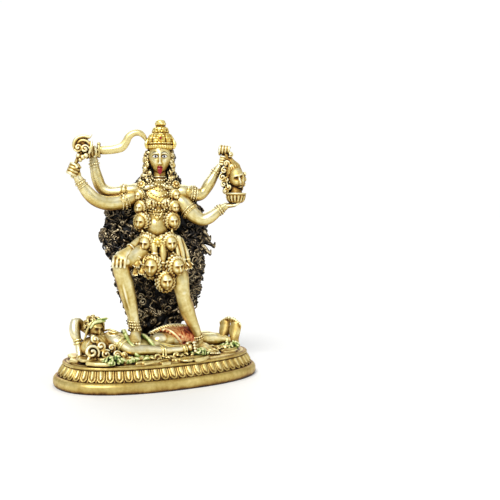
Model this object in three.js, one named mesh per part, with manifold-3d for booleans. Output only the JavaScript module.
// Kali figure: a small cast-resin statuette, one solid casting with its oval lotus plinth.
// Millimetres, +Z up, origin at the middle of the flat underside, length along X, front towards -Y.
import * as THREE from "three";
import { mergeVertices } from "three/addons/utils/BufferGeometryUtils.js";
import Module from "manifold-3d";

const wasm = await Module();
wasm.setup();

// Driving sizes
const HEIGHT = 127; // underside to the top of the crown
const PLINTH_LENGTH = 109.2;
const PLINTH_WIDTH = 61;
const BAND_HEIGHT = 5.3; // smooth band at the foot of the plinth
const BAND_BULGE = 1.2; // how far the band's edges draw in from its belly
const PETAL_HEIGHT = 4.9; // ring of lotus petals above the band
const PETAL_RELIEF = 1.5; // how far a petal's tip stands out from the groove
const RIM_HEIGHT = 1.9; // plain moulding above the petals
const RIM_INSET = 4.6; // from the widest outline in to the moulding
const GROUND_RISE = 1; // earth above the moulding, where the figures stand
const PETAL_COUNT = 60;
const OUTLINE_POWER = 2.3; // 2 is an ellipse, more is squarer
const FACING = THREE.MathUtils.degToRad(-30); // the standing figure is turned on its plinth

// Both figures are laid out in parts of the standing figure's own height above the ground
const FIGURE_PARTS = 114;
const GROUND_LEVEL = BAND_HEIGHT + PETAL_HEIGHT + RIM_HEIGHT + GROUND_RISE;
const PART = (HEIGHT - GROUND_LEVEL) / FIGURE_PARTS;

const GOLD = { name: "antique gold resin", color: 0xcdb468, roughness: 0.42, metalness: 0.55 };

const v = (x, y, z) => new THREE.Vector3(x, y, z);

// A closed solid for joining, from any closed geometry
function solid(geometry) {
  const bare = geometry.index ? geometry.toNonIndexed() : geometry.clone();
  bare.deleteAttribute("normal");
  bare.deleteAttribute("uv");
  const merged = mergeVertices(bare, 1e-4);
  const mesh = new wasm.Mesh({
    numProp: 3,
    vertProperties: new Float32Array(merged.attributes.position.array),
    triVerts: new Uint32Array(merged.index.array),
  });
  return new wasm.Manifold(mesh);
}

// Rings of points joined into one closed skin, with a fan over each end. Neighbouring rings may
// hold different numbers of points, each spread evenly round.
function skin(rings, foot, top) {
  const points = [foot];
  const starts = rings.map((ring) => points.push(...ring) - ring.length);
  points.push(top);
  const at = (row, column) => starts[row] + (column % rings[row].length);
  const faces = [];
  const lastRow = rings.length - 1;
  for (let column = 0; column < rings[0].length; column++) faces.push(0, at(0, column + 1), at(0, column));
  for (let column = 0; column < rings[lastRow].length; column++)
    faces.push(points.length - 1, at(lastRow, column), at(lastRow, column + 1));
  for (let row = 0; row < lastRow; row++) {
    const [below, above] = [rings[row].length, rings[row + 1].length];
    let [i, j] = [0, 0];
    while (i < below || j < above) {
      const stepBelow = j >= above || (i < below && (i + 1) / below <= (j + 1) / above);
      if (stepBelow) faces.push(at(row, i), at(row, i + 1), at(row + 1, j));
      else faces.push(at(row, i), at(row + 1, j + 1), at(row + 1, j));
      if (stepBelow) i++;
      else j++;
    }
  }
  const geometry = new THREE.BufferGeometry();
  const numbers = points.flatMap((p) => [p.x, p.y, p.z]);
  geometry.setAttribute("position", new THREE.Float32BufferAttribute(numbers, 3));
  geometry.setIndex(faces);
  return geometry;
}

// An ellipsoid: centre and half-sizes, with an optional turn about X, Y and Z
function ball(centre, half, turn = [0, 0, 0], columns = 6) {
  const geometry = new THREE.SphereGeometry(1, columns, Math.round(columns * 0.6));
  geometry.scale(half.x, half.y, half.z);
  geometry.rotateX(turn[0]).rotateY(turn[1]).rotateZ(turn[2]);
  return geometry.translate(centre.x, centre.y, centre.z);
}

// A limb or strand: a smooth curve through places, each with its own radius, round at both ends.
// flat widens the section across the given direction. Each bangle is [where, half width, rise],
// in shares of the curve and of the radius, raised on the limb itself.
function limb(places, radii, { sides = 7, flat = 1, across = v(0, 1, 0), bangles = [] } = {}) {
  const curve = new THREE.CatmullRomCurve3(places, false, "centripetal");
  const last = places.length - 1;
  const radiusAt = (share) => {
    const before = Math.min(Math.floor(share * last), last - 1);
    return THREE.MathUtils.lerp(radii[before], radii[before + 1], share * last - before);
  };
  const marks = places.map((_, i) => [i / last, 1]);
  for (const [where, half, rise] of bangles) marks.push([where - half, 1], [where, rise], [where + half, 1]);
  marks.sort((a, b) => a[0] - b[0]);
  const stations = marks.map(([share, rise]) => ({
    centre: curve.getPoint(share),
    tangent: curve.getTangent(share),
    radius: radiusAt(share) * rise,
  }));
  const start = stations[0];
  const end = stations.at(-1);
  const rounded = ({ centre, tangent, radius }, side) => ({
    centre: centre.clone().addScaledVector(tangent, side * radius * 0.6),
    tangent,
    radius: radius * 0.7,
  });
  stations.unshift(rounded(start, -1));
  stations.push(rounded(end, 1));
  let normal = new THREE.Vector3().crossVectors(across, start.tangent);
  if (normal.lengthSq() < 0.05) normal = new THREE.Vector3().crossVectors(v(1, 0, 0), start.tangent);
  const rings = stations.map(({ centre, tangent, radius }) => {
    normal = normal.clone().addScaledVector(tangent, -normal.dot(tangent)).normalize();
    const binormal = new THREE.Vector3().crossVectors(tangent, normal);
    return Array.from({ length: sides }, (_, i) => {
      const angle = (i / sides) * 2 * Math.PI;
      return centre
        .clone()
        .addScaledVector(normal, radius * Math.cos(angle))
        .addScaledVector(binormal, radius * flat * Math.sin(angle));
    });
  });
  const foot = start.centre.clone().addScaledVector(start.tangent, -start.radius);
  const top = end.centre.clone().addScaledVector(end.tangent, end.radius);
  return skin(rings, foot, top);
}

// A mass standing upright: levels of [height, half width, half depth, x, y]
function trunk(levels, sides, carve = () => 1) {
  const rings = levels.map(([z, width, depth, x, y], row) =>
    Array.from({ length: sides }, (_, i) => {
      const angle = (i / sides) * 2 * Math.PI;
      const relief = carve(i, row);
      return v(x + width * relief * Math.cos(angle), y + depth * relief * Math.sin(angle), z);
    }),
  );
  const middle = ([z, , , x, y]) => v(x, y, z);
  return skin(rings, middle(levels[0]), middle(levels.at(-1)));
}

// Points of the plinth's outline, equally spaced, each with its outward direction
function outline(count) {
  const fine = 1440;
  const corner = (value) => Math.sign(value) * Math.abs(value) ** (2 / OUTLINE_POWER);
  const raw = Array.from({ length: fine + 1 }, (_, i) => {
    const angle = (i / fine) * 2 * Math.PI;
    return v((PLINTH_LENGTH / 2) * corner(Math.cos(angle)), (PLINTH_WIDTH / 2) * corner(Math.sin(angle)), 0);
  });
  const walked = [0];
  for (let i = 1; i <= fine; i++) walked.push(walked[i - 1] + raw[i].distanceTo(raw[i - 1]));
  const spots = [];
  for (let i = 0, j = 0; i < count; i++) {
    while (walked[j + 1] < (i / count) * walked[fine]) j++;
    const along = raw[j + 1].clone().sub(raw[j]).normalize();
    spots.push({ point: raw[j].clone(), outward: v(along.y, -along.x, 0) });
  }
  return spots;
}

const ringAt = (spots, z, insetOf) =>
  spots.map(({ point, outward }, i) => {
    const moved = point.clone().addScaledVector(outward, -insetOf(i));
    return moved.setZ(z);
  });

// The plinth and the rough earth inside its moulding. Every petal is one ridge between two grooves.
function plinth() {
  const petalTop = BAND_HEIGHT + PETAL_HEIGHT;
  const rimTop = petalTop + RIM_HEIGHT;
  const groove = BAND_BULGE + PETAL_RELIEF;
  const lean = RIM_INSET + 0.6;
  const band = outline(36);
  const petals = outline(PETAL_COUNT * 2);
  const earth = outline(22);
  const plain = (z, inset) => ringAt(band, z, () => inset);
  const petalRow = (z, inset, relief) => ringAt(petals, z, (i) => inset - relief * (i % 2));
  const rough = (z, inset, row) =>
    ringAt(earth, z, (i) => inset + 0.7 * Math.sin(i * 2.4 + row) + 0.5 * Math.sin(i * 5.1 + 2 * row));
  const rings = [
    plain(0, BAND_BULGE),
    plain(BAND_HEIGHT * 0.45, 0),
    plain(BAND_HEIGHT, BAND_BULGE * 1.2),
    petalRow(BAND_HEIGHT, groove, PETAL_RELIEF * 0.8),
    petalRow(petalTop, lean, PETAL_RELIEF * 0.3),
    plain(petalTop, RIM_INSET + 0.3),
    plain(petalTop + RIM_HEIGHT * 0.4, RIM_INSET),
    plain(rimTop, RIM_INSET + 0.7),
    rough(rimTop + GROUND_RISE * 0.4, RIM_INSET + 3, 1),
    rough(GROUND_LEVEL + 0.3, RIM_INSET + 7, 2),
  ];
  return skin(rings, v(0, 0, 0), v(0, 0, GROUND_LEVEL + 0.7));
}

// Flat slabs of rock laid near the edge of the earth
function slabs() {
  const slab = (x, y, length, width, height, turn) =>
    ball(v(x * PLINTH_LENGTH, y * PLINTH_WIDTH, GROUND_LEVEL), v(length, width, height), [0, 0, turn]);
  return [
    slab(-0.4, -0.02, 7, 6, 1.8, 0.4),
    slab(0.31, -0.2, 8, 4, 1.2, 0.5),
    slab(0.33, 0.22, 8, 5, 1.3, -0.4),
  ];
}

// A tuft of leaves set in the earth, star-shaped in plan
function tuft(x, y, size) {
  const star = (i, row) => (i % 2 ? 1 : 0.55 + 0.1 * row);
  const levels = [
    [-0.4, size, size, x, y],
    [size * 0.3, size * 1.1, size * 1.1, x, y],
    [size * 0.7, size * 0.5, size * 0.5, x, y],
  ];
  return trunk(levels, 12, star);
}

// The figure that lies along the plinth, its head at the left and the soles of its feet at the right.
// Places are parts of the standing figure's height, measured in the plinth's own directions.
function lyingFigure() {
  const parts = [
    limb([v(-30, -1, 6.5), v(-22, -3, 6.2), v(-13, -4.5, 4.6), v(-4, -4, 5.4), v(7, -3, 6)], [5.2, 6.2, 4.6, 4.4, 5.4], {
      sides: 8,
      flat: 1.3,
      across: v(0, 0, 1),
    }),
    limb([v(-30, 0, 9), v(-33.5, 1, 12.5)], [2.5, 2.4], { sides: 5 }),
    ball(v(-35.5, 1.2, 14.6), v(4.6, 4.2, 5), [0.2, 0.25, 0], 8),
    ball(v(-38.4, 2.4, 14.6), v(4.2, 4, 4.8)),
    ball(v(-33.5, 1.6, 18.9), v(3.9, 1.7, 1.4), [0, -0.35, 0]),
    ball(v(-36.5, 3, 7), v(7, 7, 7.5)),
  ];
  // Far arm, folded behind the head with its elbow in the air and its hand on the ground
  parts.push(
    limb([v(-30, 6, 9), v(-36, 8.5, 13.5), v(-41.6, 7.6, 17.2), v(-42, 6.2, 12.4), v(-41.4, 4, 8), v(-42.6, 1.4, 1)],
      [2.6, 2.4, 2.3, 2.5, 1.7, 1.7],
      { sides: 6, bangles: [[0.78, 0.05, 1.5]] },
    ),
  );
  // Near arm, laid along the front of the plinth with its fist closed
  parts.push(
    limb(
      [v(-29.5, -7, 9.5), v(-26, -10.5, 7.6), v(-22, -13.4, 4.6), v(-13, -15.6, 3.8), v(-4, -17.2, 2.4), v(4, -17.2, 3.6)],
      [3.6, 2.8, 2.5, 2.5, 2.4, 1.7],
      { sides: 6, bangles: [[0.22, 0.05, 1.3], [0.96, 0.03, 1.3]] },
    ),
    ball(v(9.2, -17.4, 3.4), v(4, 2.8, 3.2)),
  );
  // Curls of hair spread on the ground beside the head, and the scroll that they wind round
  for (let i = 0; i < 4; i++) {
    const angle = 2.6 + i * 0.85;
    const bend = v(-36 + 6 * Math.cos(angle), -4 + 5 * Math.sin(angle), 7);
    const tip = v(-36 + 9 * Math.cos(angle), -6 + 8 * Math.sin(angle), 1);
    parts.push(limb([v(-35, -1, 9), bend, tip], [2, 2, 1.2], { sides: 4 }));
  }
  parts.push(ball(v(-42, -8.4, 5), v(3.6, 2, 3.6), [0, 0, -0.3]));
  // Legs with their anklets, and the upright feet
  for (const [side, lift] of [[-1, 0], [1, 0.4]]) {
    const leg = [
      v(8, -3 + side * 3, 5.5),
      v(23, -2 + side * 2.6, 5 + lift),
      v(30, -2 + side * 3, 4.2 + lift),
      v(36.6, -1.8 + side * 3.8, 3.8 + lift),
    ];
    const foot = [v(39.2, -2 + side * 4, 2.6 + lift), v(40.6, -2 + side * 4.2, 8), v(41.4, -2 + side * 4.6, 12.6)];
    parts.push(
      limb(leg, [4.6, 3.3, 2.8, 2], { sides: 6, bangles: [[0.95, 0.03, 1.3]] }),
      limb(foot, [2.2, 2.1, 2.2], { sides: 6, flat: 1.5, across: v(0, 1, 0) }),
    );
  }
  // Skin wrapped round the hips, its belt, and two snakes laid over the chest
  parts.push(
    ball(v(6, -3, 6.2), v(8.5, 8, 5.4), [0, 0, 0], 8),
    limb([v(-5, -7.6, 6.4), v(1, -9.8, 4.2), v(9, -9.8, 3.6)], [1, 1.1, 1], { sides: 4 }),
    limb([v(-20, 2, 11.4), v(-21.4, -4, 12), v(-22.6, -9, 9.4), v(-21.6, -12.6, 5)], [1, 1.1, 1, 0.8], { sides: 4 }),
    limb([v(-10, 2, 8.4), v(-10.6, -5, 9.4), v(-9.6, -10.4, 6.4)], [1, 1, 0.8], { sides: 4 }),
  );
  return parts;
}

// Trunk of the standing figure, its necklaces and belts raised on it as bands
function body() {
  const levels = [
    [46, 7.5, 5.4, 0, -1],
    [51, 10.4, 7, 0, -0.8],
    [55, 9.4, 6.6, 0, -0.4],
    [56.4, 10.2, 7.4, 0, -0.4],
    [57.8, 8.6, 6.2, -0.2, -0.2],
    [62, 5.6, 4.4, -0.3, 0],
    [67, 5.9, 4.4, -0.2, 0],
    [72, 8, 5, 0, 0],
    [78, 9.8, 4.8, 0.2, 0.4],
    [80.2, 9.4, 5.4, 0.2, 0],
    [82, 6.4, 4.6, 0.4, 0.2],
    [83, 5.4, 4.6, 0.6, 0.2],
    [84.6, 3.4, 3.4, 0.7, 0.4],
    [89, 3.2, 3.2, 0.9, 0.2],
  ];
  return [
    trunk(levels, 11),
    ball(v(-3.4, -3.8, 73.6), v(3.5, 3.1, 3.4)),
    ball(v(3.9, -3.8, 73.6), v(3.5, 3.1, 3.4)),
    ball(v(0.4, -5, 69.4), v(2.6, 1.8, 3.4)),
    ball(v(-0.4, -7.6, 57.2), v(2.4, 1.4, 2.4)),
  ];
}

// Four arms in two pairs, with armlets and bangles, and the hands at their ends
function arms() {
  const cuffs = { sides: 6, bangles: [[0.3, 0.06, 1.35], [0.9, 0.07, 1.4]] };
  const fist = (x, y, z) => ball(v(x, y, z), v(2.6, 2.4, 3.1));
  return [
    limb([v(-11, 0.5, 79.4), v(-19, 0.2, 79.4), v(-28, 0.6, 81.6), v(-30, 0, 87.4), v(-31.4, -0.8, 96)],
      [4.2, 2.8, 2.5, 2.4, 1.9], cuffs),
    limb([v(-11, 0.5, 76.4), v(-19, -2.4, 74.6), v(-31, -5, 76), v(-34.6, -6, 81.4), v(-38.2, -7.4, 88.6)],
      [4.2, 2.8, 2.6, 2.4, 1.9], cuffs),
    limb([v(11, 0.5, 79), v(16, 0.8, 78.6), v(22, 1.8, 78.6), v(26, 2, 84.6), v(30.6, 2.2, 95)],
      [4.2, 3.3, 2.4, 2.3, 1.8], cuffs),
    limb([v(11, 0.5, 75), v(16.6, -1.8, 69.4), v(22, -3.2, 66), v(27, -3, 69.4), v(33.4, -2, 74.2)],
      [4.4, 3.2, 2.8, 2.5, 2], cuffs),
    fist(-31.6, -1, 100),
    fist(-39.4, -8, 91),
    fist(31.6, 2, 99.6),
    ball(v(35.8, -1.4, 75), v(3.8, 2.6, 1.6), [0, -0.3, 0]),
  ];
}

// The right leg steps up on the lying figure's chest, the left foot is on the ground
function legs() {
  const anklet = (where) => ({ sides: 8, bangles: [[where, 0.04, 1.35]] });
  const sole = { sides: 6, flat: 1.35, across: v(0, 0, 1) };
  return [
    limb([v(-5, -1, 51.5), v(-11, -7.6, 49), v(-17.6, -12.5, 43.5), v(-15.4, -11.4, 31), v(-12.6, -10.6, 21), v(-11, -10.2, 12)],
      [6.2, 5.6, 4.2, 4, 2.8, 2.4], anklet(0.9)),
    limb([v(5.4, -1, 51), v(9.6, -3.8, 40), v(12.6, -5, 29.6), v(15.6, -2.4, 20), v(18.6, -0.4, 12), v(20.8, 0.8, 4)],
      [6.4, 5.4, 4, 3.8, 2.7, 2.6], anklet(0.88)),
    limb([v(-11, -9.6, 11.4), v(-11, -14.6, 10.2), v(-11.2, -18.2, 9)], [2.6, 2.2, 1.8], sole),
    limb([v(20.4, 1, 3), v(24.2, -2.6, 2), v(27, -5, 1)], [2.6, 2.3, 1.8], sole),
  ];
}

// Head with its nose, tongue, earrings and side curls, under the tiered crown
function headAndCrown() {
  const middle = [1.2, 0.2];
  const crown = [
    [101, 6.4, 5.9, ...middle],
    [103.4, 6.7, 6.2, ...middle],
    [103.8, 5.3, 4.9, ...middle],
    [107.4, 4.4, 4, ...middle],
    [108, 3.6, 3.4, ...middle],
    [109.8, 2.7, 2.6, ...middle],
    [112.4, 3.3, 3.1, ...middle],
    [113, 2.4, 2.2, ...middle],
    [FIGURE_PARTS, 1.8, 1.6, ...middle],
  ];
  const scallops = (i) => 1 + (i % 2 ? 0.06 : -0.04);
  const parts = [
    ball(v(0.9, -0.6, 96.4), v(5.3, 5.6, 7.4), [0, 0, 0], 9),
    ball(v(0.9, -4.9, 90.6), v(2, 1.5, 1.7)),
    limb([v(0.9, -5.6, 99), v(0.9, -6.8, 95.2)], [0.6, 1], { sides: 5 }),
    ball(v(0.9, -6.2, 91.6), v(1.1, 0.9, 2)),
    trunk(crown, 12, scallops),
    ball(v(1.2, -5.9, 104.8), v(1.6, 1.1, 2.6)),
  ];
  for (const side of [-1, 1]) {
    const x = (out) => 0.9 + side * out;
    parts.push(
      limb([v(x(5.8), 1, 99), v(x(7.6), 0.4, 93), v(x(6.6), 0, 88), v(x(9.4), -1.4, 84)], [1.4, 1.9, 1.5, 1.9], {
        sides: 5,
      }),
      ball(v(x(6.3), -1.4, 92.4), v(1.3, 1.3, 2.4), [0, 0, 0], 5),
    );
  }
  return parts;
}

// The great fall of hair behind the figure: a fluted, waving mass with loose locks at its edges
function hair() {
  const levels = [
    [-0.5, 10, 4.6, 0, 15.4],
    [9, 13.6, 4.8, -0.4, 14.6],
    [20, 18.4, 5.2, -0.6, 13.4],
    [31, 20, 5.4, -0.7, 12.4],
    [42, 24.6, 5.8, -1, 11.4],
    [53, 25.6, 5.8, -1.1, 10.3],
    [64, 26.4, 5.8, -1.3, 9.3],
    [72, 21.6, 5.4, -1, 8.2],
    [80, 15.4, 5, 0, 6.4],
    [88, 10.6, 4.8, 0.8, 4.6],
    [97, 7.2, 5, 1, 2.6],
    [103, 5, 4.4, 1, 1.6],
  ];
  const flutes = (i, row) => (row > 0 ? 1 + 0.05 * (i % 2 ? 1 : -1) : 1);
  const lock = (places, radii) => limb(places, radii, { sides: 4 });
  const parts = [trunk(levels, 24, flutes)];
  for (const [x, z, side] of [[-23, 70, -1], [-24, 58, -1], [-21, 38, -1], [20, 68, 1], [22, 60, 1], [20, 44, 1], [17, 28, 1]]) {
    const y = 16 - z * 0.11;
    const places = [v(x, y, z), v(x + side * 4.4, y - 1.4, z - 5), v(x + side * 3, y, z - 10), v(x + side * 5, y - 1, z - 14)];
    parts.push(lock(places, [2.2, 2.2, 1.9, 0.9]));
  }
  // Long waves seen between and beside the legs
  for (let i = 0; i < 4; i++) {
    const x = -13 + 8.6 * i;
    const wave = (z, sway) => v(x * (0.5 + z / 120) + sway, 8.4 - z * 0.06, z);
    parts.push(lock([wave(58, -1), wave(42, 1.4), wave(26, -1.4), wave(9, 1)], [2, 2.4, 2.3, 1.4]));
  }
  return parts;
}

// Garland of small heads from the shoulders to below the knees' height, and the girdle of arms
function garlandAndGirdle() {
  const heads = [
    [-9, -3.4, 76.6, 2.5],
    [-7.6, -4.4, 70, 2.6],
    [-6, -3.7, 63.4, 2.9],
    [-6.6, -6.8, 54.6, 3],
    [-3.1, -9.4, 44, 3.5],
    [4.2, -9.4, 37.4, 3.2],
    [9.4, -8.4, 43.8, 3.3],
    [6, -7, 54.6, 3],
    [5.8, -3.9, 65, 2.9],
    [7.2, -4.4, 71.6, 2.6],
    [8, -3.6, 77.6, 2.5],
  ];
  const parts = heads.map(([x, y, z, size]) => ball(v(x, y, z), v(size, size, size * 1.3), [0, x * 0.03, 0]));
  // Severed forearms hung from the belt, hands downwards, some laid over the raised thigh
  const forearms = [
    [v(-3, -6.4, 57), v(-2, -9, 52), v(-0.6, -9.6, 46)],
    [v(2.6, -6.4, 57), v(3, -9, 50), v(2.8, -10.6, 42.4)],
    [v(-6, -5.6, 56), v(-9, -9, 51), v(-11.4, -12.6, 44)],
    [v(-7.6, -5, 57), v(-13, -10.4, 52), v(-18.4, -15.4, 48)],
    [v(-4, -6, 50), v(-7, -9.6, 44), v(-10.6, -12.4, 38)],
    [v(9, -5, 57), v(12.4, -7, 51), v(13, -8.4, 44)],
  ];
  for (const places of forearms) parts.push(limb(places, [1.9, 1.7, 1.7], { sides: 4 }));
  return parts;
}

// The curved sword lies level over the upper right fist, its hooked blade ending at the crown
function sword() {
  const blade = new THREE.Shape();
  blade.moveTo(-28, 98.8);
  blade.quadraticCurveTo(-19, 99.4, -14, 101.4);
  blade.quadraticCurveTo(-12.4, 106.6, -9.4, 105.8);
  blade.quadraticCurveTo(-7.2, 104.4, -5.6, 102.6);
  blade.lineTo(-4.6, 104.2);
  blade.quadraticCurveTo(-7.2, 110.4, -13, 110);
  blade.quadraticCurveTo(-15, 109.8, -15.8, 105.6);
  blade.quadraticCurveTo(-20, 103.4, -28, 102.8);
  const thickness = 1.5;
  const plate = new THREE.ExtrudeGeometry(blade, { depth: thickness, bevelEnabled: false, curveSegments: 3 });
  plate.rotateX(Math.PI / 2);
  plate.translate(0, -1 + thickness / 2, 0);
  return [
    plate,
    limb([v(-35.6, -1, 99.8), v(-28.4, -1, 100.8)], [1.3, 1.2], { sides: 5 }),
    limb([v(-28.6, -1, 98.2), v(-28.6, -1, 103.2)], [0.9, 0.9], { sides: 4 }),
  ];
}

// A short trident in the lower right fist, its outer prongs curled round a knob
function trident() {
  const rod = (places) => limb(places, [0.9, 1.1, 0.7, 0.6].slice(0, places.length), { sides: 4 });
  return [
    rod([v(-40.6, -8, 84.6), v(-39, -8, 92), v(-37.6, -8, 99)]),
    rod([v(-38, -8, 98), v(-41, -8, 101.4), v(-37.6, -8, 105.6), v(-34.4, -8, 107)]),
    rod([v(-37.6, -8, 98), v(-33.6, -8, 101), v(-32.4, -8, 106)]),
    ball(v(-37.4, -8.2, 101.6), v(2, 2, 2)),
  ];
}

// A severed head hung by its hair from the upper left hand, over a bowl on the lower left palm
function headOverBowl() {
  const bowl = [
    [75.6, 2.6, 2.6, 37.6, -1],
    [77.6, 3.4, 3.4, 37.7, -1],
    [80.2, 5, 4.8, 37.8, -1],
    [81.4, 5.2, 5, 37.8, -1],
  ];
  return [
    ball(v(37.4, -1, 88.2), v(4.1, 4.2, 5.6), [0, 0.2, 0], 7),
    ball(v(35, 0.6, 90), v(4.2, 4.4, 5.6), [0, 0.35, 0]),
    ball(v(38.2, -5, 87.4), v(0.8, 0.8, 1.3), [0, 0, 0], 5),
    limb([v(36.6, -0.4, 80.6), v(37, -0.6, 84)], [3, 3], { sides: 6 }),
    limb([v(34.6, 0.6, 94), v(32.6, 1.4, 97.6), v(32.4, 1.6, 102)], [2.6, 2, 1.2], { sides: 5 }),
    trunk(bowl, 10, (i) => 1 + 0.05 * (i % 2 ? 1 : -1)),
  ];
}

const onGround = (geometry) => geometry.scale(PART, PART, PART).translate(0, 0, GROUND_LEVEL);
const turned = (geometry) => geometry.rotateZ(FACING);

const standingFigure = [
  body(),
  arms(),
  legs(),
  headAndCrown(),
  hair(),
  garlandAndGirdle(),
  sword(),
  trident(),
  headOverBowl(),
].flat();

const casting = wasm.Manifold.union(
  [
    plinth(),
    ...slabs(),
    ...lyingFigure().map(onGround),
    ...[tuft(-34, -17.6, 3.4), tuft(12.8, -20, 3.2), tuft(37, -10.5, 3.4)].map(onGround),
    ...standingFigure.map(turned).map(onGround),
  ].map(solid),
);

// The joined solid as a mesh; a sealed crumb of air or stuff left by the joins is dropped
function meshOf(manifold, name) {
  const whole = manifold.decompose().sort((a, b) => b.volume() - a.volume())[0];
  const { vertProperties, triVerts } = whole.getMesh();
  const geometry = new THREE.BufferGeometry();
  geometry.setAttribute("position", new THREE.Float32BufferAttribute(vertProperties, 3));
  geometry.setIndex(new THREE.Uint32BufferAttribute(triVerts, 1));
  geometry.computeVertexNormals();
  const mesh = new THREE.Mesh(geometry, new THREE.MeshStandardMaterial(GOLD));
  mesh.name = name;
  return mesh;
}

const statuette = new THREE.Group();
statuette.add(meshOf(casting, "kali_figure"));
export default statuette;
